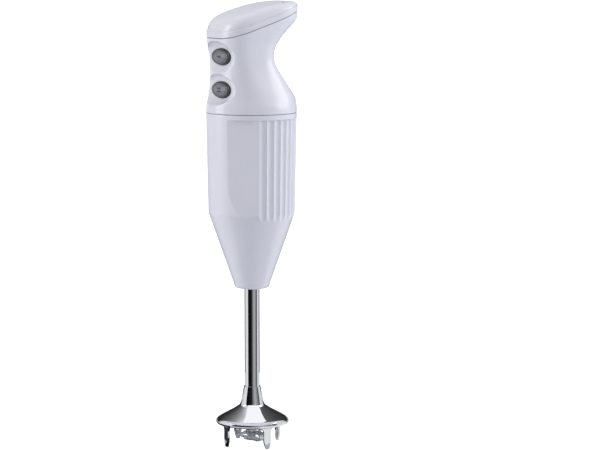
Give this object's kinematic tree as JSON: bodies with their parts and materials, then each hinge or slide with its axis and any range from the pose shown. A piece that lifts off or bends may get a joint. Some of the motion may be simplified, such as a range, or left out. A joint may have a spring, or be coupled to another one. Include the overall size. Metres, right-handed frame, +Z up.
{
  "type": "immersion blender",
  "caption": "Upright hand blender: waisted hooked grip with oval push buttons, fluted tapering motor barrel, steel tube and pronged bell guard over a push-fit cutter.",
  "frame": {"origin": "on the drive axis, in the plane of the four prong tips that it stands on", "axes": "+Z up along the drive axis, -Y towards the buttons, +Y towards the cord outlet"},
  "size_m": [0.069, 0.069, 0.3405],
  "materials": {
    "white_shell": "glossy moulded white, lightly polished",
    "white_inner": "satin moulded white",
    "grey_button": "satin moulded dark grey with fine ribs",
    "black_rubber": "matt black rubber",
    "grey_rubber": "matt grey rubber",
    "polished_steel": "mirror-polished stainless steel",
    "cutter_steel": "pressed stainless steel, fine brushed",
    "shaft_steel": "ground bright steel",
    "bearing_steel": "ground bearing steel",
    "spring_steel": "drawn spring wire",
    "screw_steel": "zinc-plated steel",
    "lamination": "stacked electrical steel, satin",
    "copper": "enamelled copper",
    "brass": "turned or pressed brass",
    "bronze": "sintered bronze, satin",
    "carbon": "pressed carbon, matt",
    "circuit_board": "glass-fibre board, satin green",
    "switch_black": "satin black plastic",
    "motor_plastic": "glass-filled dark plastic",
    "capacitor_blue": "dipped blue epoxy",
    "lead_brown": "brown insulated lead",
    "lead_blue": "blue insulated lead"
  },
  "bodies": {
    "housing": {"handle_shell": "white_shell", "top_cover": "white_shell", "barrel_shell": "white_shell", "nose_ring": "white_inner", "cover_seal": "grey_rubber", "collar_seal": "grey_rubber", "cord_gland": "black_rubber", "cover_screw_left": "screw_steel", "cover_screw_right": "screw_steel", "button_spring_1": "spring_steel", "button_spring_2": "spring_steel", "microswitch_1": "switch_black", "microswitch_2": "switch_black", "button_frame": "white_inner", "switch_board": "circuit_board", "board_screw_upper": "screw_steel", "board_screw_lower": "screw_steel", "suppression_capacitor": "capacitor_blue", "terminal_block": "white_inner", "motor_lead_brown": "lead_brown", "motor_lead_blue": "lead_blue", "stator_core": "lamination", "field_coil_rear": "copper", "field_coil_front": "copper", "brush_holder_rear": "brass", "brush_holder_front": "brass", "carbon_brush_rear": "carbon", "carbon_brush_front": "carbon", "brush_spring_rear": "spring_steel", "brush_spring_front": "spring_steel", "motor_frame_top": "motor_plastic", "motor_frame_bottom": "motor_plastic", "bearing_top": "bearing_steel", "bearing_bottom": "bearing_steel", "motor_bolt_left": "screw_steel", "motor_bolt_right": "screw_steel", "motor_mount_upper": "black_rubber", "motor_mount_lower": "black_rubber", "shaft_tube": "polished_steel", "tube_nut": "brass", "upper_bush": "bronze", "lower_bush": "bronze", "shaft_seal": "black_rubber", "blade_guard": "polished_steel"},
    "rotor": {"motor_shaft": "shaft_steel", "armature_core": "lamination", "armature_winding": "copper", "commutator": "copper", "cooling_fan": "motor_plastic", "coupling_upper": "motor_plastic", "coupling_star": "black_rubber", "coupling_lower": "motor_plastic", "drive_shaft": "shaft_steel", "drive_pin": "shaft_steel"},
    "cutter": {"cutter_hub": "cutter_steel", "cutter_blade": "cutter_steel"},
    "button_1": {"button_speed_1": "grey_button"},
    "button_2": {"button_speed_2": "grey_button"}
  },
  "joints": [
    {"name": "button_1_press", "type": "slide", "parent": "housing", "child": "button_1", "axis": [0, 1, 0], "range_m": [0, 0.002], "stiffness_N_per_m": 1000, "springref_m": -0.0015, "deforming": ["button_spring_1"]},
    {"name": "button_2_press", "type": "slide", "parent": "housing", "child": "button_2", "axis": [0, 1, 0], "range_m": [0, 0.002], "stiffness_N_per_m": 1000, "springref_m": -0.0015, "deforming": ["button_spring_2"]},
    {"name": "rotor_spin", "type": "hinge", "parent": "housing", "child": "rotor", "pos_m": [0, 0, 0.2], "axis": [0, 0, 1], "continuous": true},
    {"name": "cutter_pull_off", "type": "slide", "parent": "rotor", "child": "cutter", "axis": [0, 0, -1], "range_m": [0, 0.0165]}
  ]
}
